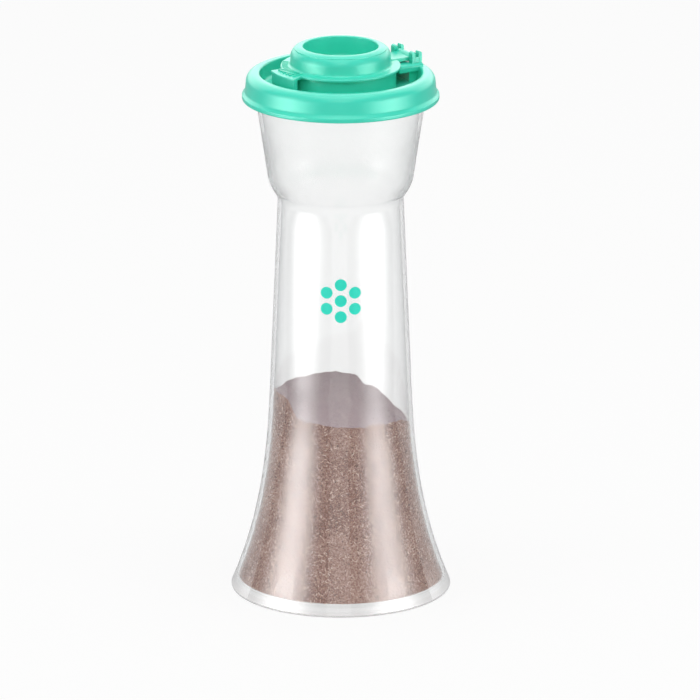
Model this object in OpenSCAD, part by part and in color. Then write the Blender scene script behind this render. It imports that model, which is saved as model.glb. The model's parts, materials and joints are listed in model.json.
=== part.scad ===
// Hourglass spice shaker: a clear jar, a press-on sifter lid and a snap-in flip cap.
// The axis is Z, the table is z = 0, and the front of the shaker faces -Y.

/* [Jar] */
// Height of the jar up to its mouth
jar_h = 148.6; // [140:0.1:165]
// Wall thickness of the jar
jar_wall = 1.1; // [0.8:0.05:1.6]
// Width of the foot, measured to its sharp corner
foot_d = 62.8; // [56:0.1:70]
// Rounding of the edge of the foot
foot_edge_r = 0.6; // [0.2:0.05:0.9]
// Height over which the foot flares out
flare_h = 60; // [45:1:90]
// How closely the flare stays at the foot
flare_power = 2.6; // [2:0.1:3.5]
// Width of the waist, where the stem meets the cup
waist_d = 35.2; // [32:0.1:38]
// Height of the waist
waist_z = 114.8; // [108:0.1:116]
// Taper of the stem, in degrees on each side
stem_draft = 2.45; // [0.5:0.05:4]
// Blend radius at the waist
waist_blend_r = 3.7; // [2:0.1:4.5]
// Height of the shoulder at the bottom of the cup
shoulder_z = 118.2; // [117.5:0.1:122]
// Blend radius at the shoulder
shoulder_blend_r = 11; // [6:0.5:12]
// Width of the cup at the mouth, without its bead
mouth_d = 49.3; // [47:0.1:53]
// Taper of the cup, in degrees on each side
cup_draft = 8.5; // [7:0.1:9.5]
// How far the snap bead stands out round the mouth
bead_out = 0.5; // [0.3:0.05:0.9]
// Rounding of the outer edge of the mouth
mouth_edge_r = 0.6; // [0.3:0.05:0.8]
// Height of the snap bead
bead_h = 1.7; // [1.2:0.1:2.4]
// Height of the inner floor above the table
floor_z = 3.2; // [2.2:0.1:5]
// Width of the raised middle of the underside
push_up_d = 52; // [30:1:54]
// How far the middle of the underside is raised
push_up_h = 0.8; // [0.3:0.1:1.2]

/* [Lid] */
// Direction that the hinge points in, in degrees from +X
lid_turn = 32; // [0:1:359]
// Thickness of the lid over the mouth of the jar
lid_top_t = 1.8; // [1.4:0.1:2.4]
// General wall thickness of the lid
lid_wall = 1.2; // [0.8:0.05:1.4]
// Wall thickness of the seal plug inside the mouth
plug_wall = 0.9; // [0.7:0.05:1.2]
// Depth of the moat inside the rim
moat_depth = 4.4; // [3:0.1:6]
// Wall thickness of the skirt
skirt_wall = 1.15; // [0.9:0.05:1.4]
// How far the skirt reaches down over the mouth
skirt_h = 5.7; // [5.2:0.1:9]
// Taper of the skirt, in degrees
skirt_draft = 5; // [3:0.5:8]
// Rounding of the outer edge of the rim
rim_edge_r = 2.5; // [1.2:0.1:2.7]
// Rounding of the inner edge of the rim
rim_inner_r = 0.5; // [0.2:0.05:0.8]
// Blend radius at the bottom of the moat
moat_blend_r = 1.2; // [0.4:0.1:2]
// How far the lip at the bottom of the skirt flares out
lip_out = 0.65; // [0.4:0.05:1]
// Height of the lip
lip_h = 2.1; // [1.8:0.1:2.4]
// Height over which the lip flares out
lip_flare_h = 0.9; // [0.5:0.05:1]
// Blend radius where the skirt meets the lip
lip_blend_r = 1; // [0.3:0.1:1.2]
// Rounding of the outer edges of the lip
lip_edge_r = 0.35; // [0.2:0.05:0.4]

/* [Sifter] */
// Width of the boss in the middle of the lid
boss_d = 31; // [29:0.1:32.5]
// Height of the boss above the rim
boss_rise = 1.3; // [0.9:0.1:2.5]
// Width of the sifter plate, sunk in the top of the boss
sifter_d = 24; // [22:0.1:24.6]
// How deep the sifter plate is sunk
sifter_depth = 1.4; // [1.2:0.1:2]
// Width of a sifter hole
hole_d = 2.2; // [1:0.1:3.2]
// Number of holes round the middle one
hole_count = 6; // [4:1:9]
// Width of the ring of holes
hole_ring_d = 11; // [9:0.5:16]
// Width across the lid to the outer face of the wall that the thumb tab rests on
rest_d = 39.6; // [36:0.1:40]
// Thickness of the wall that the thumb tab rests on
rest_t = 1.3; // [0.8:0.1:2]

/* [Flip cap] */
// Width of the raised ring of the cap
cap_d = 28.1; // [27.5:0.1:29]
// Height of the cap above its seat on the boss
cap_h = 6.3; // [5:0.1:8]
// General wall thickness of the cap
cap_wall = 1.1; // [0.8:0.05:1.2]
// Angle at which a fine groove runs round the domed edge of the cap, in degrees
groove_angle = 50; // [35:1:70]
// Depth of the fine groove
groove_depth = 0.15; // [0.05:0.01:0.25]
// Width of the finger well at its lip
well_d = 21.1; // [20:0.1:21.6]
// Depth of the finger well
well_depth = 5; // [3:0.1:5.3]
// Taper of the finger well, in degrees
well_draft = 3; // [0:0.5:5]
// Width of the narrow land between the finger well and the domed edge
land_w = 0.5; // [0.3:0.05:0.8]
// Width of the flange
flange_d = 33.6; // [31:0.1:35]
// Thickness of the flange
flange_t = 0.8; // [0.6:0.05:1.2]
// Blend radius where the raised ring meets the flange
flange_blend_r = 0.8; // [0.3:0.1:1]
// Depth of the seal ring in the sifter recess
seal_depth = 1.2; // [0.6:0.05:1.3]
// Wall thickness of the seal ring
seal_wall = 1; // [0.7:0.05:1.4]
// Width across the cap at the end of the thumb tab
tab_d = 40; // [37:0.1:41]
// Angle that the thumb tab spans, in degrees
tab_angle = 35; // [20:1:50]
// Thickness of the thumb tab at its end
tab_end_t = 0.5; // [0.4:0.05:0.7]
// Number of grip ribs on the flange and tab
grip_count = 12; // [4:1:16]
// Angle from one grip rib to the next, in degrees
grip_pitch = 5; // [3:0.5:6]
// Angle from the middle of the tab to the first grip rib, in degrees
grip_start = 12; // [6:1:14]
// Width of a grip rib
grip_w = 0.5; // [0.3:0.05:0.6]
// Height of a grip rib
grip_h = 0.25; // [0.15:0.05:0.4]

/* [Hinge] */
// Distance of the hinge pin inside the edge of the moat
hinge_inset = 1; // [0.6:0.05:1.6]
// Height of the hinge pin above the seat of the cap
hinge_rise = 0.4; // [0.2:0.05:0.8]
// Thickness of the two pin stubs
pin_d = 1.5; // [1.2:0.05:1.8]
// Thickness of the barrel that carries the pin stubs
barrel_d = 2.6; // [2.2:0.05:2.8]
// Width of the hinge arm
arm_w = 7.2; // [5:0.1:9]
// Thickness of the hinge arm
arm_t = 1; // [0.8:0.05:1.2]
// Thickness of each hinge ear
ear_t = 1.8; // [1.2:0.1:2.4]
// Length of each hinge ear, along a radius of the lid
ear_l = 3.2; // [2.9:0.1:3.6]
// Height of the ears above the pin
ear_rise = 2.3; // [1.6:0.1:2.8]
// Rounding of the top corners of the ears
ear_edge_r = 0.7; // [0.3:0.05:0.9]
// Width of the slot that the pin snaps in through
snap_slot = 1.1; // [0.8:0.05:1.15]
// How much wider the slot is at its mouth, on each side
snap_lead = 0.35; // [0.1:0.05:0.5]

/* [Spice] */
// Height of the top of the heap above the table
spice_top = 62.5; // [50:0.5:80]
// Radius of the top of the heap
heap_r = 35; // [30:1:50]
// How far the heap leans to the left
heap_left = 5; // [0:0.5:6]
// How far the heap leans to the back
heap_back = 4; // [0:0.5:6]

/* [Fits] */
// Gap between the seal plug and the mouth of the jar
plug_gap = 0.15; // [0.1:0.01:0.25]
// Gap between the skirt and the snap bead of the jar
skirt_gap = 0.15; // [0.1:0.01:0.3]
// Gap by which the snap bead of the lid passes the one of the jar
snap_gap = 0.06; // [0.05:0.01:0.1]
// Gap between the seal ring and the sifter recess
seal_gap = 0.15; // [0.12:0.01:0.25]
// Gap round the pin in its bores
pin_gap = 0.1; // [0.05:0.01:0.15]
// Gap between the hinge arm and each ear
ear_gap = 0.2; // [0.1:0.01:0.3]
// Gap between the barrel and the bracket under it
barrel_gap = 0.3; // [0.2:0.01:0.4]
// Gap between the spice and the wall of the jar
spice_gap = 0.2; // [0.1:0.01:0.3]

/* [Hidden] */
$fn = 96;
teal = "#55D9BE";
clear = [0.92, 0.95, 0.96, 0.35];
brown = "#9C7465";

// Largest angle of one step along a rounded corner
arc_step = 10;
// Number of steps along the flare of the foot
flare_steps = 24;
// Overlap that fuses a feature with the wall it grows from
fuse = 0.4;
// Rounding of edges that are only broken
soft_r = 0.2;
// Length of a cut past the face that it opens
past = 1;

// Jar
foot_r = foot_d / 2;
waist_r = waist_d / 2;
mouth_r = mouth_d / 2;
bead_r = mouth_r + bead_out;
mouth_in_r = mouth_r - jar_wall / cos(cup_draft);

// Lid
rim_z = jar_h + lid_top_t;
moat_z = rim_z - moat_depth;
plug_r = mouth_in_r - plug_gap;
skirt_in_r = bead_r + skirt_gap;
skirt_z = jar_h - skirt_h;
snap_r = bead_r + snap_gap;
snap_half = 0.6;
snap_z = jar_h - bead_h - snap_half - plug_gap;
boss_r = boss_d / 2;
boss_z = rim_z + boss_rise;
sifter_r = sifter_d / 2;
sifter_z = boss_z - sifter_depth;
rest_r = rest_d / 2;

// Flip cap, seated on the boss
cap_r = cap_d / 2;
cap_top_z = boss_z + cap_h;
flange_r = flange_d / 2;
flange_z = boss_z + flange_t;
tab_r = tab_d / 2;
well_r = well_d / 2;
well_z = cap_top_z - well_depth;
well_floor_r = well_r - well_depth * tan(well_draft);
seal_r = sifter_r - seal_gap;
seal_z = boss_z - seal_depth;

// Hinge
hinge_r = recess_r(rim_z) - hinge_inset;
hinge_z = boss_z + hinge_rise;
barrel_r = barrel_d / 2;
bore_r = pin_d / 2 + pin_gap;
ear_y = arm_w / 2 + ear_gap + ear_t / 2;
ear_z = hinge_z + ear_rise;
bracket_z = hinge_z - barrel_r - barrel_gap;
bracket_w = arm_w + 2 * (ear_gap + ear_t);
bracket_r = hinge_r - ear_l / 2 - soft_r;
pin_l = bracket_w;
tab_turn = lid_turn + 180;

function unit(v) = v / norm(v);
function left_of(v) = [-v.y, v.x];

// Signed turn from one direction to another, in degrees
function turn(from, to) = (to - from + 540) % 360 - 180;

// Arc that rounds the corner b, between its neighbours a and c
function corner_arc(a, b, c, r) =
    r == 0 ? [b] :
    let(u = unit(a - b), w = unit(c - b), half = acos(u * w) / 2,
        centre = b + unit(u + w) * r / sin(half),
        p = b + u * r / tan(half) - centre,
        q = b + w * r / tan(half) - centre,
        from = atan2(p.y, p.x),
        sweep = turn(from, atan2(q.y, q.x)),
        steps = ceil(abs(sweep) / arc_step))
    [for (i = [0:steps]) centre + r * [cos(from + sweep * i / steps), sin(from + sweep * i / steps)]];

// Closed outline through corners [x, y, radius]
function rounded(path) =
    let(n = len(path))
    [for (i = [0:n - 1])
        let(a = path[(i + n - 1) % n], b = path[i], c = path[(i + 1) % n])
        each corner_arc([a.x, a.y], [b.x, b.y], [c.x, c.y], b.z)];

// Corner b moved to the left of the path a, b, c by the wall t
function inset(a, b, c, t) =
    let(n = left_of(unit(b - a)), m = left_of(unit(c - b))) b + t * (n + m) / (1 + n * m);

// Outer and inner radius of the stem and foot at a height
function stem_r(z) = waist_r + (waist_z - z) * tan(stem_draft);
function flare(z) = pow(max(0, 1 - z / flare_h), flare_power);
function foot_slope(z) =
    tan(stem_draft) + (foot_r - stem_r(0)) * flare_power / flare_h
    * pow(max(0, 1 - z / flare_h), flare_power - 1);
function jar_r(z) = stem_r(z) + (foot_r - stem_r(0)) * flare(z);
function jar_in_r(z) = jar_r(z) - jar_wall * norm([1, foot_slope(z)]);

// Outer radius of the cup at a height
function cup_r(z) = mouth_r - (jar_h - z) * tan(cup_draft);

// Radius of the moat's outer wall at a height, parallel to the cup
function recess_r(z) = plug_r - plug_wall / cos(cup_draft) - (jar_h - z) * tan(cup_draft);

// Outer and inner radius of the skirt at a height
function skirt_inner(z) = skirt_in_r + (jar_h - z) * tan(skirt_draft);
function skirt_outer(z) = skirt_inner(z) + skirt_wall / cos(skirt_draft);

// Corners of the jar's outer wall above the flare: stem, waist, shoulder, mouth
stem_foot = [jar_r(flare_h), flare_h];
waist = [waist_r, waist_z];
shoulder = [cup_r(shoulder_z), shoulder_z];
mouth = [mouth_r, jar_h];
waist_in = inset(stem_foot, waist, shoulder, jar_wall);
shoulder_in = inset(waist, shoulder, mouth, jar_wall);
bead_low = jar_h - bead_h;
push_up_r = push_up_d / 2;

jar_outline = rounded([
    [0, push_up_h, 0],
    [push_up_r - push_up_h, push_up_h, soft_r],
    [push_up_r, 0, soft_r],
    [foot_r, 0, foot_edge_r],
    for (i = [1:flare_steps]) let(z = flare_h * i / flare_steps) [jar_r(z), z, 0],
    [waist.x, waist.y, waist_blend_r],
    [shoulder.x, shoulder.y, shoulder_blend_r],
    [cup_r(bead_low), bead_low, soft_r],
    [bead_r, bead_low + bead_out, soft_r],
    [bead_r, jar_h, mouth_edge_r],
    [mouth_in_r, jar_h, soft_r],
    [shoulder_in.x, shoulder_in.y, shoulder_blend_r - jar_wall],
    [waist_in.x, waist_in.y, waist_blend_r + jar_wall],
    for (i = [flare_steps:-1:2]) let(z = flare_h * i / flare_steps) [jar_in_r(z), z, 0],
    [jar_in_r(floor_z), floor_z, soft_r],
    [0, floor_z, 0]
]);

module jar() {
    color(clear) rotate_extrude() polygon(jar_outline);
}

lip_r = skirt_outer(skirt_z) + lip_out;
lip_top_z = skirt_z + lip_h;
moat_under_z = moat_z - lid_wall;
boss_under_r = boss_r - lid_wall;

lid_outline = rounded([
    [0, sifter_z, 0],
    [sifter_r, sifter_z, soft_r],
    [sifter_r, boss_z, soft_r],
    [boss_r, boss_z, soft_r],
    [boss_r, moat_z, soft_r],
    [recess_r(moat_z), moat_z, moat_blend_r],
    [recess_r(rim_z), rim_z, rim_inner_r],
    [skirt_outer(rim_z), rim_z, rim_edge_r],
    [skirt_outer(lip_top_z), lip_top_z, lip_blend_r],
    [lip_r, lip_top_z - lip_flare_h, lip_edge_r],
    [lip_r, skirt_z, lip_edge_r],
    [skirt_inner(skirt_z), skirt_z, soft_r],
    [skirt_inner(snap_z - snap_half), snap_z - snap_half, 0],
    [snap_r, snap_z - snap_half / 4, 0],
    [snap_r, snap_z + snap_half / 4, 0],
    [skirt_inner(snap_z + snap_half), snap_z + snap_half, 0],
    [skirt_in_r, jar_h, mouth_edge_r],
    [plug_r, jar_h, soft_r],
    [plug_r - (jar_h - moat_under_z) * tan(cup_draft), moat_under_z, lid_wall / 2],
    [boss_under_r, moat_under_z, soft_r],
    [boss_under_r, boss_z - lid_wall, 0],
    [sifter_r + lid_wall / 2, boss_z - lid_wall, 0],
    [sifter_r + lid_wall / 2, sifter_z - lid_wall, soft_r],
    [0, sifter_z - lid_wall, 0]
]);

// Ring sector of a profile, centred on the X axis
module sector(angle) {
    rotate(-angle / 2) rotate_extrude(angle = angle) children();
}

// Profile in the radius and height plane, given a width along the tangent
module across(width) {
    rotate([90, 0, 0]) linear_extrude(width, center = true) children();
}

// Curved wall that the thumb tab comes down on
module rest_arc() {
    translate([0, 0, moat_z - fuse])
        sector(tab_angle)
            translate([rest_r - rest_t, 0])
                square([rest_t, boss_z - moat_z + fuse]);
}

// Bracket in the moat that carries the two hinge ears
module hinge_bracket() {
    intersection() {
        rotate_extrude()
            polygon([
                [bracket_r, moat_z - fuse],
                [recess_r(moat_z) + fuse, moat_z - fuse],
                [recess_r(bracket_z) + fuse, bracket_z],
                [bracket_r, bracket_z]
            ]);
        translate([0, -bracket_w / 2, moat_z - fuse])
            cube([mouth_r, bracket_w, bracket_z - moat_z + past]);
    }
}

// Side view of one ear: an upright with a bore and a slot that the pin snaps in through
module ear_profile() {
    difference() {
        polygon(rounded([
            [hinge_r - ear_l / 2, jar_h + fuse, 0],
            [hinge_r + ear_l / 2, jar_h + fuse, 0],
            [hinge_r + ear_l / 2, ear_z, ear_edge_r],
            [hinge_r - ear_l / 2, ear_z, ear_edge_r]
        ]));
        translate([hinge_r, hinge_z]) circle(bore_r);
        translate([hinge_r, hinge_z])
            polygon([
                [-snap_slot / 2, 0],
                [snap_slot / 2, 0],
                [snap_slot / 2, ear_rise - snap_lead],
                [snap_slot / 2 + snap_lead, ear_rise + soft_r],
                [-snap_slot / 2 - snap_lead, ear_rise + soft_r],
                [-snap_slot / 2, ear_rise - snap_lead]
            ]);
    }
}

module sifter_holes() {
    translate([0, 0, sifter_z - lid_wall - past]) {
        cylinder(h = lid_wall + 2 * past, d = hole_d);
        for (i = [0:hole_count - 1])
            rotate(i * 360 / hole_count)
                translate([hole_ring_d / 2, 0, 0])
                    cylinder(h = lid_wall + 2 * past, d = hole_d);
    }
}

module lid() {
    color(teal)
        difference() {
            union() {
                rotate_extrude() polygon(lid_outline);
                rotate(tab_turn) rest_arc();
                rotate(lid_turn) {
                    hinge_bracket();
                    for (side = [-1, 1]) translate([0, side * ear_y, 0]) across(ear_t) ear_profile();
                }
            }
            rotate(lid_turn) sifter_holes();
        }
}

cap_in_r = cap_r - cap_wall;
cap_under_z = cap_top_z - cap_wall;
well_out_r = well_r + cap_wall;
well_under_z = well_z - cap_wall;
slot_w = cap_in_r - well_out_r;

// Domed edge: a quarter round from the land down to the side of the cap
dome_r = cap_r - well_r - land_w;
dome_steps = 10;
function dome_point(angle, inset = 0) =
    [cap_r - dome_r + (dome_r - inset) * cos(angle), cap_top_z - dome_r + (dome_r - inset) * sin(angle), 0];
groove_half = asin(groove_depth / dome_r);

cap_outline = rounded([
    [0, well_z, 0],
    [well_floor_r, well_z, cap_wall],
    [well_r, cap_top_z, land_w * 0.8],
    for (i = [0:dome_steps])
        let(angle = 90 - i * (90 - groove_angle - groove_half) / dome_steps) dome_point(angle),
    dome_point(groove_angle, groove_depth),
    for (i = [0:dome_steps])
        let(angle = (groove_angle - groove_half) * (1 - i / dome_steps)) dome_point(angle),
    [cap_r, flange_z, flange_blend_r],
    [flange_r, flange_z, flange_t / 2.5],
    [flange_r, boss_z, soft_r],
    [cap_in_r, boss_z, soft_r],
    [cap_in_r, cap_under_z, slot_w * 0.7],
    [well_out_r, cap_under_z, slot_w * 0.2],
    [seal_r, boss_z, 0],
    [seal_r, seal_z, soft_r],
    [seal_r - seal_wall, seal_z, soft_r],
    [seal_r - seal_wall, well_under_z, soft_r],
    [0, well_under_z, 0]
]);

// Thumb tab, thinner towards its end
module tab() {
    sector(tab_angle)
        polygon(rounded([
            [cap_r, boss_z, 0],
            [tab_r, boss_z, 0],
            [tab_r, boss_z + tab_end_t, soft_r],
            [flange_r, flange_z, soft_r],
            [cap_r, flange_z, 0]
        ]));
}

// Low radial rib on the flange, longer where it runs out on the tab
module grip_rib(turn) {
    on_tab = abs(turn) < tab_angle / 2 - grip_pitch / 2;
    end_r = on_tab ? (flange_r + tab_r) / 2 : flange_r - flange_t / 2;
    start_r = cap_r + flange_blend_r;
    rotate(turn)
        translate([start_r, -grip_w / 2, flange_z - flange_t / 2])
            cube([end_r - start_r, grip_w, flange_t / 2 + grip_h]);
}

// Arm, barrel and pin stubs of the hinge
module hinge_arm() {
    across(arm_w) {
        translate([cap_r - cap_wall / 2, boss_z])
            square([hinge_r - cap_r + cap_wall / 2, arm_t]);
        translate([hinge_r, hinge_z]) circle(barrel_r);
    }
    translate([hinge_r, 0, hinge_z])
        rotate([90, 0, 0]) cylinder(h = pin_l, d = pin_d, center = true);
}

module flip_cap() {
    color(teal) {
        rotate_extrude() polygon(cap_outline);
        rotate(tab_turn) {
            tab();
            for (i = [0:grip_count - 1]) grip_rib(grip_start - i * grip_pitch);
        }
        rotate(lid_turn) hinge_arm();
    }
}

// Loose ground spice: it fills the foot and is heaped up on top
spice_outline = [
    [0, floor_z],
    [jar_in_r(floor_z) - spice_gap, floor_z],
    for (i = [2:flare_steps]) let(z = flare_h * i / flare_steps) [jar_in_r(z) - spice_gap, z],
    [jar_in_r(spice_top + past) - spice_gap, spice_top + past],
    [0, spice_top + past]
];
heap_z = spice_top - heap_r;

module spice() {
    color(brown)
        intersection() {
            rotate_extrude() polygon(spice_outline);
            translate([-heap_left, heap_back, 0]) {
                translate([0, 0, heap_z]) sphere(heap_r);
                cylinder(h = heap_z + heap_r / 2, r = foot_r + heap_left + heap_back);
            }
        }
}

jar();
lid();
flip_cap();
spice();
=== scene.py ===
import json
import math

import bmesh
import bpy
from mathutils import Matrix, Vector, noise
from mathutils.bvhtree import BVHTree


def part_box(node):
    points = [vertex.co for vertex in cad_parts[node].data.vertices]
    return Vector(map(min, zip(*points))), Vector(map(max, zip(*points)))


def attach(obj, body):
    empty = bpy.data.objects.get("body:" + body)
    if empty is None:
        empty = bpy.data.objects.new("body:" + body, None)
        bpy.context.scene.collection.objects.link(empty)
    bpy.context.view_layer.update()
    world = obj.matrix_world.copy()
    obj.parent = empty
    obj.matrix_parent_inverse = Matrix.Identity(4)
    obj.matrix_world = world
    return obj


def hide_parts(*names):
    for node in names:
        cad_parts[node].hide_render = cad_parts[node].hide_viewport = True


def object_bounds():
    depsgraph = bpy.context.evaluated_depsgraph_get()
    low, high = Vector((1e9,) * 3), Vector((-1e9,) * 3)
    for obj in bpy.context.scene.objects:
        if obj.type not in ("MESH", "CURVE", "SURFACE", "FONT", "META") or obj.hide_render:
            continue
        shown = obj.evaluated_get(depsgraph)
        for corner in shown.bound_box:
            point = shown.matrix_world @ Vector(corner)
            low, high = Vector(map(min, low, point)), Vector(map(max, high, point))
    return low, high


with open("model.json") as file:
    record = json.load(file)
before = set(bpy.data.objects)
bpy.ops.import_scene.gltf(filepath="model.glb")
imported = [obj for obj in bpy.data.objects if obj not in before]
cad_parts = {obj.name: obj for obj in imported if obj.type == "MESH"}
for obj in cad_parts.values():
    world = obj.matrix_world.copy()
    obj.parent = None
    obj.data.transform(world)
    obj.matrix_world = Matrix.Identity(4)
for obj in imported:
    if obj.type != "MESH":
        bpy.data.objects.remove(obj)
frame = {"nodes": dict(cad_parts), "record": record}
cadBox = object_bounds()
scene = bpy.context.scene
mm = 0.001
print("frame loaded:", ", ".join(sorted(frame["nodes"])))

view = {
    "position": Vector((0.0, -2.185, 0.731)),
    "aim": Vector((0.0026, 0.0, 0.0693)),
    "lens": 416.35,
    "sensor": 36.0,
    "reach": 50.0,
}


def lookAt(place, target):
    return (target - place).to_track_quat("-Z", "Y").to_euler()


def addObject(name, data):
    made = bpy.data.objects.new(name, data)
    scene.collection.objects.link(made)
    return made


def makeCamera():
    data = bpy.data.cameras.new("camera")
    data.lens = view["lens"]
    data.sensor_width = view["sensor"]
    data.clip_end = view["reach"]
    camera = addObject("camera", data)
    camera.location = view["position"]
    camera.rotation_euler = lookAt(view["position"], view["aim"])
    scene.camera = camera


def meshObject(name, points, faces, material):
    mesh = bpy.data.meshes.new(name)
    mesh.from_pydata(points, [], faces)
    mesh.materials.append(material)
    return addObject(name, mesh)


def smooth(made, angle):
    made.data.shade_smooth()
    made.data.set_sharp_from_angle(angle=math.radians(angle))


def turnOutward(made):
    # all faces of a closed mesh get outward normals
    turned = bmesh.new()
    turned.from_mesh(made.data)
    bmesh.ops.recalc_face_normals(turned, faces=turned.faces)
    turned.to_mesh(made.data)
    turned.free()


weldDistance = 0.002 * mm


def nodeMesh(node):
    # points and faces of a node of the frame
    mesh = frame["nodes"][node].data
    return [v.co.copy() for v in mesh.vertices], [tuple(p.vertices) for p in mesh.polygons]


def weldedCopy(node, name, material, angle):
    # the frame's own mesh is loose triangles, so a copy of it is welded and shaded smooth
    made = meshObject(name, *nodeMesh(node), material)
    welded = bmesh.new()
    welded.from_mesh(made.data)
    bmesh.ops.remove_doubles(welded, verts=welded.verts, dist=weldDistance)
    welded.to_mesh(made.data)
    welded.free()
    smooth(made, angle)
    return made


def surfaceOf(node):
    return BVHTree.FromPolygons(*nodeMesh(node))


jarSurface = surfaceOf("jar")


def jarInside(height):
    # radius of the inner wall at a height
    return jarSurface.ray_cast(Vector((0, 0, height)), Vector((1, 0, 0)))[0].x


def jarOutside(turn, height):
    # point and normal on the outer wall, turn measured from the front towards the right
    outward = Vector((math.sin(turn), -math.cos(turn), 0))
    start = Vector((0, 0, height)) + outward
    return jarSurface.ray_cast(start, -outward)[:2]


def smoothStep(low, high, value):
    share = min(1.0, max(0.0, (value - low) / (high - low)))
    return share * share * (3 - 2 * share)


def put(tree, kind, values=None, **settings):
    made = tree.nodes.new(kind)
    for key, value in settings.items():
        setattr(made, key, value)
    for key, value in (values or {}).items():
        made.inputs[key].default_value = value
    return made


def calculate(tree, operation, *values):
    # a maths node; each value is a number or a socket
    made = put(tree, "ShaderNodeMath", operation=operation)
    for entry, value in zip(made.inputs, values):
        if isinstance(value, bpy.types.NodeSocket):
            tree.links.new(value, entry)
        else:
            entry.default_value = value
    return made.outputs["Value"]


def spread(tree, source, span, results=(0.0, 1.0), kind="SMOOTHSTEP"):
    # carries a value over from one span to another
    made = put(tree, "ShaderNodeMapRange", {
        "From Min": span[0],
        "From Max": span[1],
        "To Min": results[0],
        "To Max": results[1],
    }, interpolation_type=kind)
    tree.links.new(source, made.inputs["Value"])
    return made.outputs["Result"]


def mixShaders(tree, share, first, second):
    made = put(tree, "ShaderNodeMixShader")
    for entry, socket in zip(made.inputs, (share, first, second)):
        tree.links.new(socket, entry)
    return made.outputs["Shader"]


def newMaterial(name):
    material = bpy.data.materials.new(name)
    material.use_nodes = True
    material.node_tree.nodes.clear()
    return material, material.node_tree


def toLinear(part):
    return part / 12.92 if part <= 0.04045 else ((part + 0.055) / 1.055) ** 2.4


def displayColour(red, green, blue):
    # a colour as it shows on a screen, 0 to 255, in the linear values that shaders take
    return tuple(toLinear(part / 255) for part in (red, green, blue)) + (1.0,)


def makeGroup(name, inputs, outputs):
    group = bpy.data.node_groups.new(name, "ShaderNodeTree")
    addSocket = group.interface.new_socket
    for label, kind, value in inputs:
        addSocket(name=label, in_out="INPUT", socket_type=kind).default_value = value
    for label, kind in outputs:
        addSocket(name=label, in_out="OUTPUT", socket_type=kind)
    return group


# finish of moulded plastic: slow flow marks in the colour, a fine mould texture in the height
mouldTexture = {"flowDetail": 3.0, "flowSwirl": 0.6, "grainDetail": 2.0}


def makeMouldFinish():
    group = makeGroup("mouldFinish", [
        ("Light Colour", "NodeSocketColor", (1, 1, 1, 1)),
        ("Deep Colour", "NodeSocketColor", (0.5, 0.5, 0.5, 1)),
        ("Flow Scale", "NodeSocketFloat", 40.0),
        ("Texture Scale", "NodeSocketFloat", 3000.0),
        ("Smoothest", "NodeSocketFloat", 0.25),
        ("Roughest", "NodeSocketFloat", 0.35),
    ], [
        ("Colour", "NodeSocketColor"),
        ("Roughness", "NodeSocketFloat"),
        ("Height", "NodeSocketFloat"),
    ])
    link = group.links.new
    entry = put(group, "NodeGroupInput")
    leave = put(group, "NodeGroupOutput")
    place = put(group, "ShaderNodeTexCoord")
    flow = put(group, "ShaderNodeTexNoise", {
        "Detail": mouldTexture["flowDetail"],
        "Distortion": mouldTexture["flowSwirl"],
    })
    link(place.outputs["Object"], flow.inputs["Vector"])
    link(entry.outputs["Flow Scale"], flow.inputs["Scale"])
    tint = put(group, "ShaderNodeMix", data_type="RGBA")
    link(flow.outputs["Fac"], tint.inputs["Factor"])
    link(entry.outputs["Deep Colour"], tint.inputs["A"])
    link(entry.outputs["Light Colour"], tint.inputs["B"])
    link(tint.outputs["Result"], leave.inputs["Colour"])
    grain = put(group, "ShaderNodeTexNoise", {"Detail": mouldTexture["grainDetail"]})
    link(place.outputs["Object"], grain.inputs["Vector"])
    link(entry.outputs["Texture Scale"], grain.inputs["Scale"])
    link(grain.outputs["Fac"], leave.inputs["Height"])
    rough = put(group, "ShaderNodeMapRange")
    link(flow.outputs["Fac"], rough.inputs["Value"])
    link(entry.outputs["Smoothest"], rough.inputs["To Min"])
    link(entry.outputs["Roughest"], rough.inputs["To Max"])
    link(rough.outputs["Result"], leave.inputs["Roughness"])
    return group


mouldFinish = makeMouldFinish()

tealLook = {
    "light": displayColour(66, 218, 191),
    "deep": displayColour(57, 210, 182),
    "smoothest": 0.26,
    "roughest": 0.34,
    "texture": 0.01 * mm,
    "textureStrength": 0.35,
    "gloss": 0.42,
}


def makeTealPlastic(name, look):
    material, tree = newMaterial(name)
    link = tree.links.new
    finish = put(tree, "ShaderNodeGroup", {
        "Light Colour": look["light"],
        "Deep Colour": look["deep"],
        "Smoothest": look["smoothest"],
        "Roughest": look["roughest"],
    }, node_tree=mouldFinish)
    bump = put(tree, "ShaderNodeBump", {
        "Strength": look["textureStrength"],
        "Distance": look["texture"],
    })
    shader = put(tree, "ShaderNodeBsdfPrincipled", {"Specular IOR Level": look["gloss"]})
    end = put(tree, "ShaderNodeOutputMaterial")
    link(finish.outputs["Colour"], shader.inputs["Base Color"])
    link(finish.outputs["Roughness"], shader.inputs["Roughness"])
    link(finish.outputs["Height"], bump.inputs["Height"])
    link(bump.outputs["Normal"], shader.inputs["Normal"])
    link(shader.outputs["BSDF"], end.inputs["Surface"])
    return material


tealPlastic = makeTealPlastic("tealPlastic", tealLook)

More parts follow.
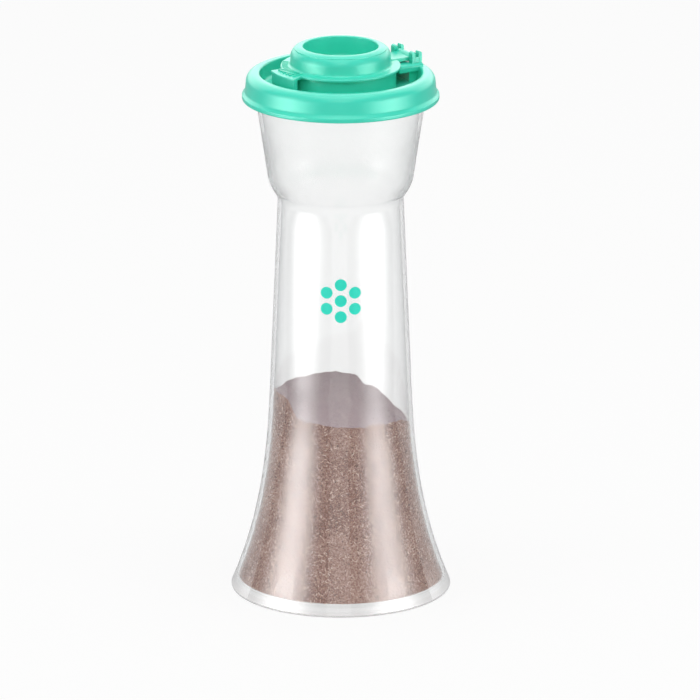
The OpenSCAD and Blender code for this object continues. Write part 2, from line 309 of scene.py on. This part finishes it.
clearLook = {
    "faceColour": (0.985, 0.986, 0.985, 1.0),
    "edgeShadeColour": (0.58, 0.59, 0.61, 1.0),  # painted shade: grey where the wall is seen along its length, a painted reflection of darker surroundings
    "edgePower": 2.6,
    "lineShadeTint": (0.50, 0.51, 0.53, 1.0),  # painted shade: a dark line along the silhouette of the inner wall
    "linePower": 8.0,
    "bend": 1.49,  # index of refraction of styrene and acrylic
    "roughness": 0.0,
    "satin": 0.18,  # roughness of the shoulder below the cup
    "satinFrom": (114 * mm, 119 * mm),
    "satinTo": (137 * mm, 132 * mm),
    "lampTint": (0.93, 0.94, 0.94, 1.0),  # what two faces of a wall let through
    "bodyTint": (0.80, 0.82, 0.82, 1.0),
    "bodyDensity": 60.0,
    "clarity": 0.97,  # the rest is the faint haze of the moulded wall
}


def makeClearPlastic():
    material, tree = newMaterial("clearPlastic")
    link = tree.links.new
    facing = put(tree, "ShaderNodeLayerWeight").outputs["Facing"]
    inner = put(tree, "ShaderNodeAttribute", attribute_name="innerWall").outputs["Fac"]
    path = put(tree, "ShaderNodeLightPath").outputs
    place = put(tree, "ShaderNodeTexCoord")
    split = put(tree, "ShaderNodeSeparateXYZ")
    shader = put(tree, "ShaderNodeBsdfPrincipled", {
        "IOR": clearLook["bend"],
        "Transmission Weight": clearLook["clarity"],
    })
    tint = put(tree, "ShaderNodeMix", {
        "A": clearLook["faceColour"],
        "B": clearLook["edgeShadeColour"],
    }, data_type="RGBA")
    dark = put(tree, "ShaderNodeBsdfTransparent", {"Color": clearLook["lineShadeTint"]})
    passing = put(tree, "ShaderNodeBsdfTransparent", {"Color": clearLook["lampTint"]})
    body = put(tree, "ShaderNodeVolumeAbsorption", {
        "Color": clearLook["bodyTint"],
        "Density": clearLook["bodyDensity"],
    })
    end = put(tree, "ShaderNodeOutputMaterial")
    # painted shade: the wall turns grey towards its edges, where it is seen more side-on
    link(calculate(tree, "POWER", facing, clearLook["edgePower"]), tint.inputs["Factor"])
    link(tint.outputs["Result"], shader.inputs["Base Color"])
    link(place.outputs["Object"], split.inputs["Vector"])
    satin = calculate(tree, "MULTIPLY",
                      spread(tree, split.outputs["Z"], clearLook["satinFrom"]),
                      spread(tree, split.outputs["Z"], clearLook["satinTo"]))
    rough = spread(tree, satin, (0.0, 1.0), (clearLook["roughness"], clearLook["satin"]), "LINEAR")
    link(rough, shader.inputs["Roughness"])
    # the silhouette of the inner wall is drawn dark as painted shade; lamps and diffuse light go
    # straight through
    grazing = calculate(tree, "POWER", facing, clearLook["linePower"])
    outline = calculate(tree, "MULTIPLY", grazing, inner)
    lined = mixShaders(tree, outline, shader.outputs["BSDF"], dark.outputs["BSDF"])
    unseen = calculate(tree, "MAXIMUM", path["Is Shadow Ray"], path["Is Diffuse Ray"])
    link(mixShaders(tree, unseen, lined, passing.outputs["BSDF"]), end.inputs["Surface"])
    link(body.outputs["Volume"], end.inputs["Volume"])
    return material


clearPlastic = makeClearPlastic()

underside = {
    "colour": (0.74, 0.72, 0.715, 1.0),
    "roughness": 0.6,
    "bend": 1.04,  # low, because the texture spreads light where a polished face throws it back
    "below": 0.9 * mm,
    "facing": -0.5,
}


def makeUndersidePlastic():
    # fine mould texture of the face that the jar stands on
    material, tree = newMaterial("frostedUnderside")
    shader = put(tree, "ShaderNodeBsdfPrincipled", {
        "Base Color": underside["colour"],
        "Roughness": underside["roughness"],
        "IOR": underside["bend"],
        "Transmission Weight": 1.0,
    })
    end = put(tree, "ShaderNodeOutputMaterial")
    tree.links.new(shader.outputs["BSDF"], end.inputs["Surface"])
    return material


def finishJar(made):
    # frosted underside, and a mask of the faces of the inner wall, where the painted shade line is
    # drawn
    made.data.materials.append(makeUndersidePlastic())
    inner = made.data.attributes.new("innerWall", "FLOAT", "FACE")
    for face in made.data.polygons:
        if face.center.z < underside["below"] and face.normal.z < underside["facing"]:
            face.material_index = 1
        inner.data[face.index].value = float(face.normal.xy.dot(face.center.xy) < 0)


print("plastics made")

moulding = {
    "jar": {"name": "clearJar", "material": clearPlastic, "slot": "clear_plastic", "angle": 40},
    "lid": {"name": "sifterLid", "material": tealPlastic, "slot": "teal_plastic", "angle": 35},
    "flip_cap": {"name": "flipCap", "material": tealPlastic, "slot": "teal_plastic", "angle": 35},
}

fingerWell = {
    "radius": 10.4 * mm,
    "low": 152.9 * mm,
    "high": 154.1 * mm,
    "deeper": 0.85 * mm,
}


def sinkWell(made):
    # the floor of the finger well and its rounded edge lie a little deeper than in the solid
    for vertex in made.data.vertices:
        inside = vertex.co.xy.length < fingerWell["radius"]
        if inside and fingerWell["low"] < vertex.co.z < fingerWell["high"]:
            vertex.co.z -= fingerWell["deeper"]


for node, part in moulding.items():
    made = weldedCopy(node, part["name"], part["material"], part["angle"])
    if node == "jar":
        finishJar(made)
    if node == "flip_cap":
        sinkWell(made)
    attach(made, node)
    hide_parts(node)

hingeBlock = {
    "width": 13.2 * mm,
    "bottom": 149.2 * mm,
    "top": 151.2 * mm,
    "rounding": 0.9 * mm,
    "corner": 6,
    "start": 15.3 * mm,  # distances from the axis of the lid
    "ears": 19.9 * mm,
    "end": 23.2 * mm,
    "earSide": 5.62 * mm,
    "crease": 35,
}


def hingeDirection():
    # level direction from the axis of the lid to the hinge
    joints = frame["record"]["behaviour"]["joints"]
    pin = Vector(next(joint["pos_m"] for joint in joints if joint["name"] == "cap_hinge"))
    return Vector((pin.x, pin.y, 0)).normalized()


def makeHingeBlock():
    # bridge between the boss and the rim beside the ears, open where the arm of the cap swings
    outward = hingeDirection()
    along = Vector((-outward.y, outward.x, 0))
    low, high, soft = (hingeBlock[key] for key in ("bottom", "top", "rounding"))
    side = hingeBlock["width"] / 2
    steps = hingeBlock["corner"]
    corner = [(side - soft + soft * math.cos(a), high - soft + soft * math.sin(a))
              for a in (math.pi / 2 * i / steps for i in range(steps + 1))]
    cheek = [(hingeBlock["earSide"], low), (side, low)] + corner + [(hingeBlock["earSide"], high)]
    full = [(-side, low), (side, low)] + corner + [(-x, z) for x, z in reversed(corner)]
    points, faces = [], []
    for outline, start, end in (
        (full, hingeBlock["start"], hingeBlock["ears"]),
        (cheek, hingeBlock["ears"], hingeBlock["end"]),
        ([(-x, z) for x, z in reversed(cheek)], hingeBlock["ears"], hingeBlock["end"]),
    ):
        near, count = len(points), len(outline)
        far = near + count
        for reach in (start, end):
            points += [outward * reach + along * x + Vector((0, 0, z)) for x, z in outline]
        faces += [tuple(range(near, far)), tuple(reversed(range(far, far + count)))]
        for i in range(count):
            j = (i + 1) % count
            faces.append((near + i, far + i, far + j, near + j))
    made = meshObject("hingeBlock", points, faces, tealPlastic)
    turnOutward(made)
    smooth(made, hingeBlock["crease"])
    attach(made, "lid")


makeHingeBlock()
print("mouldings dressed")

# ground spice: a heap with a crumbled top, packed against the wall lower down
spice = {
    "floor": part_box("spice")[0].z + 0.1 * mm,
    "peak": 59.3 * mm,
    "heapRadius": 45 * mm,
    "leanX": -3 * mm,
    "leanY": 4.5 * mm,
    "wallGap": 0.2 * mm,
    "footRise": 0.3 * mm,  # the jar is measured above its floor, not on it
    "edgeRounds": 12,
    "around": 260,
    "layers": 60,
    "rings": 70,
    "lumps": ((0.7 * mm, 6.0 * mm), (0.4 * mm, 2.6 * mm), (0.16 * mm, 1.0 * mm)),  # height, width
    # where the heap has slipped on the right: how far down, and between which places across
    "slips": ((2.7 * mm, 3.9 * mm, 7.0 * mm), (2.6 * mm, 9.0 * mm, 18.0 * mm)),
    "slipFront": -13 * mm,
    "slipBack": 1 * mm,
    # on the left it is banked up against the wall, towards the front
    "bankHeight": 4.2 * mm,
    "bankAcross": (-11.5 * mm, -15.0 * mm),
    "bankDeep": (2.0 * mm, -6.0 * mm),
    "crease": 50,
    "seed": 11.3,
}


def heapHeight(x, y):
    away = math.hypot(x - spice["leanX"], y - spice["leanY"])
    height = spice["peak"] - spice["heapRadius"] + math.sqrt(spice["heapRadius"] ** 2 - away ** 2)
    for size, width in spice["lumps"]:
        height += size * noise.noise(Vector((x / width, y / width, spice["seed"])))
    slip = sum(depth * smoothStep(start, stop, x) for depth, start, stop in spice["slips"])
    bank = spice["bankHeight"] * smoothStep(*spice["bankAcross"], x)
    bank *= smoothStep(*spice["bankDeep"], y)
    return height + bank - slip * smoothStep(spice["slipFront"], spice["slipBack"], y)


def heapEdge(direction):
    # height at which the heap meets the wall in one direction
    height = spice["peak"]
    for _ in range(spice["edgeRounds"]):
        radius = jarInside(height) - spice["wallGap"]
        height = heapHeight(radius * direction.x, radius * direction.y)
    return height


def makeSpice(material):
    around, layers, rings = spice["around"], spice["layers"], spice["rings"]
    directions = [Vector((math.cos(a), math.sin(a), 0))
                  for a in (2 * math.pi * i / around for i in range(around))]
    edges = [heapEdge(d) for d in directions]
    points = []
    for layer in range(layers + 1):
        for d, edge in zip(directions, edges):
            height = spice["floor"] + (edge - spice["floor"]) * layer / layers
            radius = jarInside(max(height, spice["floor"] + spice["footRise"])) - spice["wallGap"]
            points.append(radius * d + Vector((0, 0, height)))
    rim = points[-around:]
    for ring in range(1, rings):
        for edge in rim:
            x, y = edge.x * (1 - ring / rings), edge.y * (1 - ring / rings)
            points.append(Vector((x, y, heapHeight(x, y))))
    rows = layers + rings
    faces = [(r * around + i, r * around + (i + 1) % around,
              (r + 1) * around + (i + 1) % around, (r + 1) * around + i)
             for r in range(rows - 1) for i in range(around)]
    points += [Vector((0, 0, heapHeight(0, 0))), Vector((0, 0, spice["floor"]))]
    top, bottom, last = len(points) - 2, len(points) - 1, (rows - 1) * around
    faces += [(last + i, last + (i + 1) % around, top) for i in range(around)]
    faces += [((i + 1) % around, i, bottom) for i in range(around)]
    made = meshObject("groundSpice", points, faces, material)
    smooth(made, spice["crease"])
    # the loose top is marked, to be painted paler: partly the looser powder's own tone, partly
    # painted light on its upward faces
    looseAndLitTop = made.data.attributes.new("looseAndLitTop", "FLOAT", "FACE")
    packed = layers * around
    for place, value in enumerate(looseAndLitTop.data):
        value.value = float(packed <= place < len(faces) - around)
    return made


powder = {
    "tones": (
        (0.36, displayColour(122, 82, 70)),
        (0.5, displayColour(160, 116, 102)),
        (0.66, displayColour(200, 166, 152)),
    ),
    # paler, greyer top of the heap: partly the loose powder's own tone, partly painted light on
    # its upward faces
    "looseAndLitColour": displayColour(186, 166, 173),
    "looseAndLitShare": 0.78,
    "patchScale": 90.0,
    "patchDetail": 4.0,
    "patchShare": 0.35,
    "grainScale": 1500.0,
    "speckScale": 1950.0,
    "speckDetail": 3.0,
    "relief": 0.25 * mm,
    "reliefStrength": 0.7,
    "roughness": 0.9,
    "gloss": 0.15,
}


def paleLooseAndLitTop(tree, colour):
    # the loose top is painted paler and greyer than what lies packed against the wall: partly the
    # looser powder's own tone, partly painted light on its upward faces
    looseAndLitTop = put(tree, "ShaderNodeAttribute", attribute_name="looseAndLitTop")
    faded = put(tree, "ShaderNodeMix", {"B": powder["looseAndLitColour"]}, data_type="RGBA")
    share = calculate(tree, "MULTIPLY", looseAndLitTop.outputs["Fac"], powder["looseAndLitShare"])
    tree.links.new(share, faded.inputs["Factor"])
    tree.links.new(colour, faded.inputs["A"])
    return faded.outputs["Result"]


def makePowder():
    material, tree = newMaterial("spicePowder")
    link = tree.links.new
    place = put(tree, "ShaderNodeTexCoord")
    patch = put(tree, "ShaderNodeTexNoise", {
        "Scale": powder["patchScale"],
        "Detail": powder["patchDetail"],
    })
    grain = put(tree, "ShaderNodeTexVoronoi", {"Scale": powder["grainScale"]})
    speck = put(tree, "ShaderNodeTexNoise", {
        "Scale": powder["speckScale"],
        "Detail": powder["speckDetail"],
    })
    ramp = put(tree, "ShaderNodeValToRGB")
    bump = put(tree, "ShaderNodeBump", {
        "Strength": powder["reliefStrength"],
        "Distance": powder["relief"],
    })
    shader = put(tree, "ShaderNodeBsdfPrincipled", {
        "Roughness": powder["roughness"],
        "Specular IOR Level": powder["gloss"],
    })
    end = put(tree, "ShaderNodeOutputMaterial")
    for texture in (patch, grain, speck):
        link(place.outputs["Object"], texture.inputs["Vector"])
    fine = calculate(tree, "MULTIPLY", speck.outputs["Fac"], 1 - powder["patchShare"])
    blend = calculate(tree, "MULTIPLY_ADD", patch.outputs["Fac"], powder["patchShare"], fine)
    stops = ramp.color_ramp.elements
    stops.new(powder["tones"][1][0])
    for stop, (position, colour) in zip(stops, powder["tones"]):
        stop.position = position
        stop.color = colour
    link(blend, ramp.inputs["Fac"])
    link(paleLooseAndLitTop(tree, ramp.outputs["Color"]), shader.inputs["Base Color"])
    link(grain.outputs["Distance"], bump.inputs["Height"])
    link(bump.outputs["Normal"], shader.inputs["Normal"])
    link(shader.outputs["BSDF"], end.inputs["Surface"])
    return material


husk = {"roughness": 0.6, "gloss": 0.3}


def makeHuskMaterial(name, deep, pale):
    # each husk has its own tone, from the random value that the scattering tree stores
    material, tree = newMaterial(name)
    link = tree.links.new
    tone = put(tree, "ShaderNodeAttribute", attribute_name="tone")
    tint = put(tree, "ShaderNodeMix", {"A": deep, "B": pale}, data_type="RGBA")
    shader = put(tree, "ShaderNodeBsdfPrincipled", {
        "Roughness": husk["roughness"],
        "Specular IOR Level": husk["gloss"],
    })
    end = put(tree, "ShaderNodeOutputMaterial")
    link(tone.outputs["Fac"], tint.inputs["Factor"])
    # husks on the loose top are painted paler too: partly their own tone, partly painted light
    link(paleLooseAndLitTop(tree, tint.outputs["Result"]), shader.inputs["Base Color"])
    link(shader.outputs["BSDF"], end.inputs["Surface"])
    return material


def makeScatter(name):
    group = bpy.data.node_groups.new(name, "GeometryNodeTree")
    sockets = {}
    for label, kind, value in (
        ("Geometry", "NodeSocketGeometry", None),
        ("Density", "NodeSocketFloat", 500000.0),
        ("Size", "NodeSocketVector", (0.001, 0.0002, 0.0001)),
        ("Smallest", "NodeSocketFloat", 0.5),
        ("Largest", "NodeSocketFloat", 1.3),
        ("Tilt", "NodeSocketFloat", 0.2),
        ("Seed", "NodeSocketInt", 1),
        ("Material", "NodeSocketMaterial", None),
    ):
        socket = group.interface.new_socket(name=label, in_out="INPUT", socket_type=kind)
        sockets[label] = socket.identifier
        if value is not None:
            socket.default_value = value
    group.interface.new_socket(name="Geometry", in_out="OUTPUT", socket_type="NodeSocketGeometry")
    link = group.links.new
    entry, leave = put(group, "NodeGroupInput"), put(group, "NodeGroupOutput")
    scatter = put(group, "GeometryNodeDistributePointsOnFaces")
    grain = put(group, "GeometryNodeMeshCube")
    place = put(group, "GeometryNodeInstanceOnPoints")
    angles = put(group, "ShaderNodeCombineXYZ", {"Z": 2 * math.pi})
    opposite = put(group, "ShaderNodeVectorMath", {1: (-1.0, -1.0, 0.0)}, operation="MULTIPLY")
    spin = put(group, "FunctionNodeRandomValue", data_type="FLOAT_VECTOR")
    turn = put(group, "FunctionNodeEulerToRotation")
    turned = put(group, "FunctionNodeRotateRotation", rotation_space="LOCAL")
    growth = put(group, "FunctionNodeRandomValue", data_type="FLOAT")
    tone = put(group, "FunctionNodeRandomValue", data_type="FLOAT")
    keep = put(group, "GeometryNodeStoreNamedAttribute", {"Name": "tone"},
               data_type="FLOAT", domain="INSTANCE")
    real = put(group, "GeometryNodeRealizeInstances")
    paint = put(group, "GeometryNodeSetMaterial")
    link(entry.outputs["Geometry"], scatter.inputs["Mesh"])
    link(entry.outputs["Density"], scatter.inputs["Density"])
    link(entry.outputs["Seed"], scatter.inputs["Seed"])
    link(entry.outputs["Size"], grain.inputs["Size"])
    link(entry.outputs["Tilt"], angles.inputs["X"])
    link(entry.outputs["Tilt"], angles.inputs["Y"])
    link(angles.outputs["Vector"], opposite.inputs[0])
    link(opposite.outputs["Vector"], spin.inputs["Min"])
    link(angles.outputs["Vector"], spin.inputs["Max"])
    link(entry.outputs["Seed"], spin.inputs["Seed"])
    link(entry.outputs["Seed"], tone.inputs["Seed"])
    link(spin.outputs["Value"], turn.inputs["Euler"])
    link(scatter.outputs["Rotation"], turned.inputs["Rotation"])
    link(turn.outputs["Rotation"], turned.inputs["Rotate By"])
    link(entry.outputs["Smallest"], growth.inputs[2])
    link(entry.outputs["Largest"], growth.inputs[3])
    link(scatter.outputs["Points"], place.inputs["Points"])
    link(grain.outputs["Mesh"], place.inputs["Instance"])
    link(turned.outputs["Rotation"], place.inputs["Rotation"])
    link(growth.outputs[1], place.inputs["Scale"])
    link(place.outputs["Instances"], keep.inputs["Geometry"])
    link(tone.outputs[1], keep.inputs["Value"])
    link(keep.outputs["Geometry"], real.inputs["Geometry"])
    link(real.outputs["Geometry"], paint.inputs["Geometry"])
    link(entry.outputs["Material"], paint.inputs["Material"])
    link(paint.outputs["Geometry"], leave.inputs["Geometry"])
    return group, sockets


scatterTree, scatterSockets = makeScatter("spiceScatter")


def scatterOver(base, name, values):
    carrier = addObject(name + "Carrier", base.data)
    modifier = carrier.modifiers.new("scatter", "NODES")
    modifier.node_group = scatterTree
    for label, value in values.items():
        modifier[scatterSockets[label]] = value
    bpy.context.view_layer.update()
    evaluated = carrier.evaluated_get(bpy.context.evaluated_depsgraph_get())
    mesh = bpy.data.meshes.new_from_object(evaluated)
    bpy.data.objects.remove(carrier)
    print(name, "faces:", len(mesh.polygons))
    return addObject(name, mesh)


scattered = {
    "paleHusks": {
        "Density": 900000.0,
        "Size": (0.66 * mm, 0.16 * mm, 0.1 * mm),
        "Smallest": 0.45,
        "Largest": 1.3,
        "Tilt": 0.12,
        "Seed": 4,
        "Material": makeHuskMaterial(
            "paleHusk", displayColour(186, 140, 118), displayColour(238, 212, 196)),
    },
    "darkCrumbs": {
        "Density": 380000.0,
        "Size": (0.34 * mm, 0.28 * mm, 0.2 * mm),
        "Smallest": 0.5,
        "Largest": 1.3,
        "Tilt": 0.3,
        "Seed": 9,
        "Material": makeHuskMaterial(
            "darkCrumb", displayColour(92, 58, 46), displayColour(150, 98, 78)),
    },
}

heap = makeSpice(makePowder())
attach(heap, "jar")
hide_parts("spice")
for name, values in scattered.items():
    made = scatterOver(heap, name, values)
    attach(made, "jar")
print("spice filled in")

# printed mark on the front: a rosette of seven dots, like the holes of the sifter
mark = {
    "height": 89.2 * mm,
    "dotRadius": 1.7 * mm,
    "ringRadius": 4.6 * mm,
    "dots": 6,
    "below": 0.01 * mm,
    "above": 0.05 * mm,
    "segments": 32,
    "innerRing": 0.5,  # share of the dot's radius at which its faces are divided
    "crease": 40,
    "colour": displayColour(20, 226, 200),
    "deepShare": 0.93,
    "flowScale": 900.0,
    "smoothest": 0.35,
    "roughest": 0.5,
}


def makeInk():
    material, tree = newMaterial("printInk")
    link = tree.links.new
    finish = put(tree, "ShaderNodeGroup", {
        "Light Colour": mark["colour"],
        "Deep Colour": tuple(mark["deepShare"] * c for c in mark["colour"][:3]) + (1.0,),
        "Flow Scale": mark["flowScale"],
        "Smoothest": mark["smoothest"],
        "Roughest": mark["roughest"],
    }, node_tree=mouldFinish)
    shader = put(tree, "ShaderNodeBsdfPrincipled")
    end = put(tree, "ShaderNodeOutputMaterial")
    link(finish.outputs["Colour"], shader.inputs["Base Color"])
    link(finish.outputs["Roughness"], shader.inputs["Roughness"])
    link(shader.outputs["BSDF"], end.inputs["Surface"])
    return material


def onJar(across, rise, proud):
    # a point of the print, laid round the wall of the jar
    height = mark["height"] + rise
    radius = -jarOutside(0, height)[0].y
    point, normal = jarOutside(across / radius, height)
    return point + normal * proud


def makeMark():
    points, faces = [], []
    centres = [(0.0, 0.0)] + [
        (mark["ringRadius"] * math.sin(a), mark["ringRadius"] * math.cos(a))
        for a in (2 * math.pi * i / mark["dots"] for i in range(mark["dots"]))]
    count = mark["segments"]
    for x, z in centres:
        first = len(points)
        for proud in (mark["below"], mark["above"]):
            points.append(onJar(x, z, proud))
            for share in (mark["innerRing"], 1.0):
                for i in range(count):
                    a = 2 * math.pi * i / count
                    reach = mark["dotRadius"] * share
                    points.append(onJar(x + reach * math.sin(a), z + reach * math.cos(a), proud))
        layer = 1 + 2 * count
        for i in range(count):
            j = (i + 1) % count
            for base, flip in ((first, False), (first + layer, True)):
                ring = base + 1
                middle = (base, ring + i, ring + j)
                outer = (ring + i, ring + count + i, ring + count + j, ring + j)
                faces += [tuple(reversed(f)) if flip else f for f in (middle, outer)]
            low, high = first + 1 + count, first + layer + 1 + count
            faces.append((low + i, high + i, high + j, low + j))
    made = meshObject("frontMark", points, faces, makeInk())
    turnOutward(made)
    smooth(made, mark["crease"])
    return made


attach(makeMark(), "jar")
print("mark printed")

floor = {
    "radius": 6.0,
    "segments": 64,
    "colour": (0.86, 0.86, 0.855, 1.0),
    "roughness": 0.9,
    "shadowShare": 0.12,  # how much of the floor's look comes from the light that falls on it
    "glow": 1.0,
    "drop": 0.2 * mm,
}
room = {
    "colour": (1.0, 1.0, 1.0, 1.0),
    "ambient": 0.47,
    # how bright the gloss mirrors it: behind and before the part, and the same below the horizon
    "behind": 2.8,
    "before": 1.05,
    "below": 0.9,
    "belowBehind": 0.5,
    # where one turns into the other, as directions from -1 to 1
    "depth": (-0.2, 0.6),
    "depthBelow": (0.0, 0.5),
    "horizon": (-0.05, 0.15),
}
softboxes = {
    "softboxLeft": {"turn": -64, "strength": 12.5},
    "softboxRight": {"turn": 60, "strength": 11.0},
}
softbox = {
    "distance": 1.1,
    "width": 2.5,
    "low": -0.27,
    "high": 1.7,
    "fade": (0.5, 0.076),
    "core": 2.4,
    "dimmed": (0.28, 0.35),  # above this share of its height, satin surfaces see it dimmed
    "dimShare": 0.1,
}
lamps = {
    "overheadLamp": {"place": Vector((0.0, -0.25, 1.7)), "size": 1.2, "power": 11.0},
    "frontLamp": {"place": Vector((0.0, -2.2, 1.9)), "size": 1.0, "power": 11.0},
    "leftLamp": {"place": Vector((-1.7, -0.7, 0.8)), "size": 0.8, "power": 5.2},
    "rightLamp": {"place": Vector((1.7, -0.7, 0.8)), "size": 0.8, "power": 5.2},
}


def makeFloor():
    material, tree = newMaterial("paleFloor")
    matt = put(tree, "ShaderNodeBsdfPrincipled", {
        "Base Color": floor["colour"],
        "Roughness": floor["roughness"],
        "Specular IOR Level": 0.0,
    })
    glow = put(tree, "ShaderNodeEmission", {"Strength": floor["glow"]})
    clear = put(tree, "ShaderNodeBsdfTransparent")
    path = put(tree, "ShaderNodeLightPath").outputs
    side = put(tree, "ShaderNodeNewGeometry")
    end = put(tree, "ShaderNodeOutputMaterial")
    seen = calculate(tree, "MAXIMUM", path["Is Camera Ray"], path["Is Transmission Ray"])
    share = calculate(tree, "MULTIPLY", seen, 1.0 - floor["shadowShare"])
    hidden = calculate(tree, "MAXIMUM", path["Is Glossy Ray"], side.outputs["Backfacing"])
    glowing = mixShaders(tree, share, matt.outputs["BSDF"], glow.outputs["Emission"])
    surface = mixShaders(tree, hidden, glowing, clear.outputs["BSDF"])
    tree.links.new(surface, end.inputs["Surface"])
    count = floor["segments"]
    down = Vector((0, 0, floor["drop"]))
    corners = [Vector((math.cos(a), math.sin(a), 0)) * floor["radius"] - down
               for a in (2 * math.pi * i / count for i in range(count))]
    made = meshObject("paleFloor", corners, [tuple(range(count))], material)


def makeRoom():
    world = bpy.data.worlds.new("studio")
    world.use_nodes = True
    tree = world.node_tree
    tree.nodes.clear()
    link = tree.links.new
    path = put(tree, "ShaderNodeLightPath").outputs
    place = put(tree, "ShaderNodeTexCoord")
    split = put(tree, "ShaderNodeSeparateXYZ")
    ambient, mirrored, white = (
        put(tree, "ShaderNodeBackground", {"Color": room["colour"], "Strength": strength})
        for strength in (room["ambient"], 1.0, 1.0))
    mirrorStrength = put(tree, "ShaderNodeMix")
    end = put(tree, "ShaderNodeOutputWorld")
    link(place.outputs["Generated"], split.inputs["Vector"])
    above = spread(tree, split.outputs["Y"], room["depth"], (room["before"], room["behind"]))
    below = spread(tree, split.outputs["Y"], room["depthBelow"],
                   (room["below"], room["belowBehind"]))
    link(spread(tree, split.outputs["Z"], room["horizon"]), mirrorStrength.inputs["Factor"])
    link(below, mirrorStrength.inputs["A"])
    link(above, mirrorStrength.inputs["B"])
    link(mirrorStrength.outputs["Result"], mirrored.inputs["Strength"])
    seen = calculate(tree, "MAXIMUM", path["Is Camera Ray"], path["Is Transmission Ray"])
    unseen = mixShaders(tree, path["Is Glossy Ray"],
                        ambient.outputs["Background"], mirrored.outputs["Background"])
    link(mixShaders(tree, seen, unseen, white.outputs["Background"]), end.inputs["Surface"])
    scene.world = world


def makeSoftbox(name, turn, strength):
    # an upright strip, brightest along its middle, that the plastics mirror as a soft streak
    material, tree = newMaterial(name)
    link = tree.links.new
    place = put(tree, "ShaderNodeUVMap", uv_map="strip")
    split = put(tree, "ShaderNodeSeparateXYZ")
    path = put(tree, "ShaderNodeLightPath").outputs
    polished = put(tree, "ShaderNodeMix", {"B": 1.0})
    light = put(tree, "ShaderNodeEmission")
    end = put(tree, "ShaderNodeOutputMaterial")
    link(place.outputs["UV"], split.inputs["Vector"])
    fades = []
    for axis, edge in zip("XY", softbox["fade"]):
        shifted = calculate(tree, "SUBTRACT", split.outputs[axis], 0.5)
        fromMiddle = calculate(tree, "ABSOLUTE", shifted)
        fades.append(spread(tree, fromMiddle, (0.5, 0.5 - edge)))
    dimmed = spread(tree, split.outputs["Y"], softbox["dimmed"], (1.0, softbox["dimShare"]))
    link(path["Is Singular Ray"], polished.inputs["Factor"])
    link(dimmed, polished.inputs["A"])
    upright = calculate(tree, "MULTIPLY", polished.outputs["Result"], fades[1])
    across = calculate(tree, "POWER", fades[0], softbox["core"])
    both = calculate(tree, "MULTIPLY", across, upright)
    link(calculate(tree, "MULTIPLY", both, strength), light.inputs["Strength"])
    link(light.outputs["Emission"], end.inputs["Surface"])
    angle = math.radians(turn)
    outward = Vector((math.sin(angle), -math.cos(angle), 0))
    middle = outward * softbox["distance"]
    half = Vector((math.cos(angle), math.sin(angle), 0)) * softbox["width"] / 2
    low, high = Vector((0, 0, softbox["low"])), Vector((0, 0, softbox["high"]))
    left, right = middle - half, middle + half
    corners = [left + low, right + low, right + high, left + high]
    made = meshObject(name, corners, [(0, 1, 2, 3)], material)
    layer = made.data.uv_layers.new(name="strip")
    for corner, uv in zip(layer.data, ((0, 0), (1, 0), (1, 1), (0, 1))):
        corner.uv = uv
    # it lights nothing and stays unseen: only its reflection in the plastics shows
    made.visible_camera = made.visible_transmission = False
    made.visible_diffuse = made.visible_shadow = False


def makeLamp(name, place, size, power):
    data = bpy.data.lights.new(name, "AREA")
    data.size = size
    data.energy = power
    lamp = addObject(name, data)
    lamp.location = place
    lamp.rotation_euler = lookAt(place, Vector((0, 0, cadBox[1].z / 2)))


makeFloor()
makeRoom()
for name, values in softboxes.items():
    makeSoftbox(name, **values)
for name, values in lamps.items():
    makeLamp(name, **values)
makeCamera()
scene.view_settings.view_transform = "Standard"
# the clear foot needs many bounces between its walls and the floor
scene.cycles.glossy_bounces = 16
scene.cycles.transmission_bounces = 24
scene.cycles.max_bounces = 24
print("studio lit")
